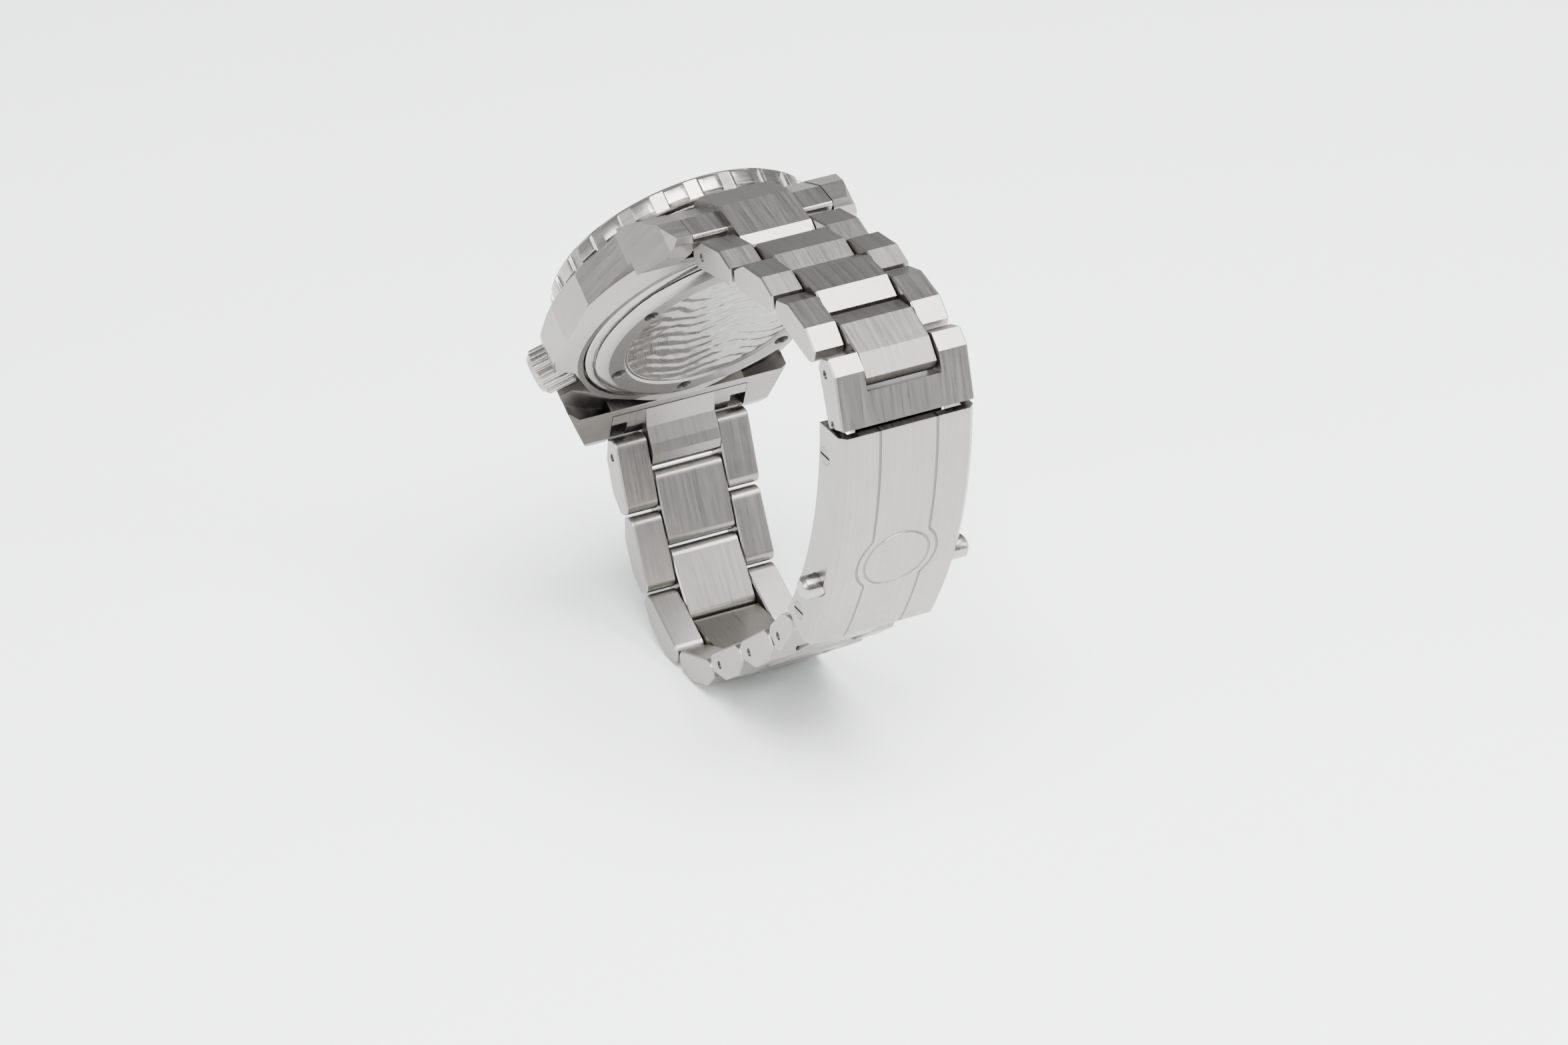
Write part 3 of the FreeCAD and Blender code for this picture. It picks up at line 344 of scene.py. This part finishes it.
CLASP_Y = -0.0324
CLASP_Z = 0.0247
LINE_AT = 0.0044
LINE_WIDTH = 0.0003
PARTING_RADIUS = 0.0062
DISC_RIM_RADIUS = 0.0050
DISC_RIM_WIDTH = 0.00028
DISC_ANGLE = math.radians(-17.5)
CLASP_RADIUS = 0.0694


def clasp_lines(surface):
    """Two sunk lines that part round a disc, as a height from 0 down to -1."""
    turn = (surface.z - CLASP_Z).calculate("ARCTAN2", surface.y - CLASP_Y)
    run = (turn - DISC_ANGLE) * CLASP_RADIUS
    away = (surface.x * surface.x + run * run).calculate("SQRT")
    line = surface.x.size().near(LINE_AT, LINE_WIDTH) * away.above(PARTING_RADIUS)
    arc = away.near(PARTING_RADIUS, LINE_WIDTH) * surface.x.size().above(LINE_AT)
    rim = away.near(DISC_RIM_RADIUS, DISC_RIM_WIDTH)
    return (line + arc + rim * 0.7) * -1.0


clasp_steel = steel("brushed clasp steel", WARM_STEEL, 0.3, relief=clasp_lines, depth=0.00035)
# Painted shade: the sunk lines and the disc's rim are also darkened in the base colour towards a near-black
# grey, standing in for the shade that falls in the grooves.
painted_line_shade = clasp_lines(clasp_steel) * -0.7
clasp_steel.set("Base Color", blend_colours(clasp_steel, clasp_steel.value_of("Base Color"),
                                            (0.07, 0.068, 0.065, 1.0), painted_line_shade))
coat(["clasp_cover"], clasp_steel, 0.00012)
coat(["clasp_end_link_12", "clasp_end_link_6"], link_steel)
blade_steel = steel("pressed blade steel", (0.3, 0.296, 0.285), 0.3, along=(300.0, 5000.0, 5000.0))
coat(["outer_blade", "inner_blade"], blade_steel, 0.00008)
button_steel = steel("button steel", (0.3, 0.292, 0.277), 0.26, along=(3500.0, 3500.0, 3500.0),
                     grain_depth=0.000001)
coat(["push_button_left", "push_button_right"], button_steel, 0.0001)


# ---------------------------------------------------------------- dial side
# A flat black dial carries applied markers and polished hands under a domed sapphire crystal.
# The movement sits below it in a moulded holder.

MM = 0.001
BACK = 26.0 * MM


def start_fresh():
    """Leaves edit mode and deselects everything, so that an operator acts on one piece."""
    if bpy.context.object is not None and bpy.context.object.mode != "OBJECT":
        bpy.ops.object.mode_set(mode="OBJECT")
    bpy.ops.object.select_all(action="DESELECT")


def join(pieces, name):
    """Makes one object of several, at the origin and untransformed."""
    start_fresh()
    for piece in pieces:
        piece.select_set(True)
    bpy.context.view_layer.objects.active = pieces[0]
    if len(pieces) > 1:
        bpy.ops.object.join()
    whole = bpy.context.object
    bpy.ops.object.transform_apply(location=True, rotation=True, scale=True)
    whole.name = name
    whole.data.name = name
    return whole


def on_dial(radius, degrees, level):
    """A place above the dial: radius and angle about its axis, level up from the wrist centre.
    The frame's X points outwards and its Z along the dial's axis."""
    about = Matrix.Rotation(TILT, 4, "X") @ Matrix.Rotation(math.radians(degrees), 4, "Z")
    return about @ Matrix.Translation((radius, 0.0, level))


def bar(size, place, bevel=0.00004):
    """A small block with bevelled edges."""
    start_fresh()
    bpy.ops.mesh.primitive_cube_add(size=1.0)
    block = bpy.context.object
    block.scale = size
    bpy.ops.object.transform_apply(location=False, rotation=False, scale=True)
    bpy.ops.object.mode_set(mode="EDIT")
    bpy.ops.mesh.select_all(action="SELECT")
    bpy.ops.mesh.bevel(offset=bevel, segments=2, affect="EDGES")
    bpy.ops.object.mode_set(mode="OBJECT")
    block.matrix_world = place
    return block


def disc(radius, depth, place, bevel):
    """A small round plate with bevelled rims."""
    start_fresh()
    bpy.ops.mesh.primitive_cylinder_add(vertices=32, radius=radius, depth=depth)
    plate = bpy.context.object
    bpy.ops.object.mode_set(mode="EDIT")
    bpy.ops.mesh.select_all(action="SELECT")
    bpy.ops.mesh.bevel(offset=bevel, segments=2, affect="EDGES")
    bpy.ops.object.mode_set(mode="OBJECT")
    plate.matrix_world = place
    return plate


def dress(piece, surface, body):
    """Gives a new piece its material and the body that it moves with."""
    piece.data.materials.clear()
    piece.data.materials.append(surface.material)
    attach(piece, body)


coat(["dial"], plain("dial black", (0.012, 0.014, 0.018), 0.42))
coat(["rehaut_ring"], plain("flange black", (0.03, 0.03, 0.034), 0.3, 0.6))
coat(["movement"], steel("movement plating", (0.63, 0.58, 0.47), 0.24, along=(900.0, 4000.0, 900.0)))
coat(["movement_holder"], plain("holder nylon", (0.8, 0.8, 0.77), 0.5))
hand_steel = steel("hand steel", (0.8, 0.8, 0.79), 0.12, along=(2000.0, 2000.0, 2000.0),
                   grain_depth=0.0000005)
coat(["hour_hand", "minute_hand", "seconds_hand"], hand_steel)

sapphire = Surface("sapphire crystal")
haze = sapphire.noise((300.0, 300.0, 300.0), 3.0)
sapphire.set("Base Color", (0.96, 0.985, 1.0, 1.0))
sapphire.set("Transmission Weight", 1.0)
sapphire.set("IOR", 1.76)
sapphire.set("Roughness", haze * 0.03)
coat(["crystal"], sapphire)

MARKER_OUTER_RADIUS = 12.4 * MM
MARKER_HEIGHT = 0.2 * MM
LUME_SHARE = 0.8
LUME_WIDTH_SHARE = 0.62
TWELVE = 90.0
DIAL_TOP = BACK + 6.98 * MM
markers = []
glow = []
for hour in range(12):
    long_one = hour % 3 == 0
    length = (3.6 if long_one else 2.2) * MM
    width = (1.3 if long_one else 0.9) * MM
    spot = on_dial(MARKER_OUTER_RADIUS - length / 2.0, TWELVE - hour * 30.0, DIAL_TOP + MARKER_HEIGHT / 2.0)
    markers.append(bar((length, width, MARKER_HEIGHT), spot))
    raised = spot @ Matrix.Translation((0.0, 0.0, 0.09 * MM))
    glow.append(bar((length * LUME_SHARE, width * LUME_WIDTH_SHARE, 0.1 * MM), raised, 0.00002))
dress(join(markers, "dial_markers"), hand_steel, "head")
dress(join(glow, "dial_lume"), lume, "head")

SCALE_RADIUS = 17.9 * MM
SCALE_LEVEL = BACK + 13.2 * MM
SCALE_SLOPE = math.atan2(0.30, 2.6)
ticks = []
for minute in range(1, 60):
    five = minute % 5 == 0
    length = (1.5 if five else 0.8) * MM
    width = (0.5 if five else 0.18) * MM
    spot = on_dial(SCALE_RADIUS, TWELVE - minute * 6.0, SCALE_LEVEL)
    lean = spot @ Matrix.Rotation(SCALE_SLOPE, 4, "Y")
    ticks.append(bar((length, width, 0.06 * MM), lean, 0.00001))
dress(join(ticks, "bezel_scale"), lume, "bezel")

HOUR_ANGLE = TWELVE - 60.0
MINUTE_ANGLE = TWELVE + 60.0
SECONDS_ANGLE = TWELVE + 150.0
for node_name, body_name, angle, low, high, across, level in (
        ("hour_hand", "hour", HOUR_ANGLE, 3.0, 6.2, 0.8, 7.34),
        ("minute_hand", "minute", MINUTE_ANGLE, 4.5, 10.0, 0.6, 7.74)):
    middle = on_dial((low + high) / 2.0 * MM, angle, BACK + level * MM)
    strip = bar(((high - low) * MM, across * MM, 0.04 * MM), middle, 0.00001)
    dress(join([strip], node_name + "_lume"), lume, body_name)
pearl = disc(0.45 * MM, 0.05 * MM, on_dial(9.5 * MM, SECONDS_ANGLE, BACK + 8.15 * MM), 0.00001)
dress(join([pearl], "seconds_hand_pearl"), lume, "seconds")


# ---------------------------------------------------------------- studio
# A pale floor, three soft boxes and dark cards that only show as reflections in the steel.  The
# eye stands behind and above the crown side, looking down at the clasp and the case back.  A
# long lens from 82 cm keeps the bracelet's edges nearly parallel.

EYE = Vector((0.3260, 0.6272, 0.4205))
GAZE = Vector((-0.3943, -0.7584, -0.5190))

camera_data = bpy.data.cameras.new("camera")
camera = bpy.data.objects.new("camera", camera_data)
bpy.context.scene.collection.objects.link(camera)
bpy.context.scene.camera = camera
camera.location = EYE
camera.rotation_euler = GAZE.to_track_quat("-Z", "Y").to_euler()
camera_data.lens = 132.4
camera_data.sensor_width = 36.0

FLOOR_GAP = 0.0002
low_corner = cad_bounds[0]
start_fresh()
bpy.ops.mesh.primitive_plane_add(size=6.0, location=(0.0, 0.0, low_corner[2] - FLOOR_GAP))
floor = bpy.context.object
floor.name = "floor"
floor_paint = Surface("pale floor")
soft = floor_paint.noise((6.0, 6.0, 6.0), 2.0)
floor_paint.set("Base Color", floor_paint.colour((0.93, 0.94, 0.95), (0.95, 0.96, 0.97), soft))
floor_paint.set("Roughness", soft * 0.1 + 0.5)
floor.data.materials.append(floor_paint.material)

world = bpy.data.worlds.new("studio")
bpy.context.scene.world = world
world.use_nodes = True
world.node_tree.nodes["Background"].inputs["Color"].default_value = (0.94, 0.97, 1.0, 1.0)
world.node_tree.nodes["Background"].inputs["Strength"].default_value = 0.6


def soft_box(name, place, aim, size, power):
    """A rectangular studio light at a place, turned towards its aim."""
    light_data = bpy.data.lights.new(name, "AREA")
    light_data.shape = "RECTANGLE"
    light_data.size = size[0]
    light_data.size_y = size[1]
    light_data.energy = power
    light = bpy.data.objects.new(name, light_data)
    bpy.context.scene.collection.objects.link(light)
    light.location = place
    light.rotation_euler = (Vector(aim) - Vector(place)).to_track_quat("-Z", "Y").to_euler()


soft_box("top box", (0.0, 0.25, 0.75), (0.0, 0.0, 0.0), (0.8, 0.6), 34.0)
soft_box("crown side box", (0.8, 0.1, 0.35), (0.0, 0.0, 0.0), (0.3, 0.5), 6.0)
soft_box("far side box", (-0.6, 0.5, 0.3), (0.0, 0.0, 0.0), (0.3, 0.5), 5.0)


card_paint = plain("dark card", (0.03, 0.03, 0.032), 0.8)


def dark_card(name, place, size):
    """A dark sheet that only shows as a reflection, facing the watch."""
    start_fresh()
    bpy.ops.mesh.primitive_plane_add(size=1.0, location=place)
    card = bpy.context.object
    card.name = name
    card.scale = (size[0], size[1], 1.0)
    card.rotation_euler = Vector(place).to_track_quat("Z", "Y").to_euler()
    card.data.materials.append(card_paint.material)
    card.visible_camera = False
    card.visible_shadow = False
    card.visible_diffuse = False


dark_card("card by the camera", (0.34, 0.42, 0.16), (0.16, 0.30))
dark_card("card on the far side", (-0.42, 0.16, 0.1), (0.3, 0.22))
dark_card("card over the bracelet", (0.05, 0.5, 0.42), (0.5, 0.1))
dark_card("card beyond the clasp", (-0.24, 0.56, 0.05), (0.5, 0.16))
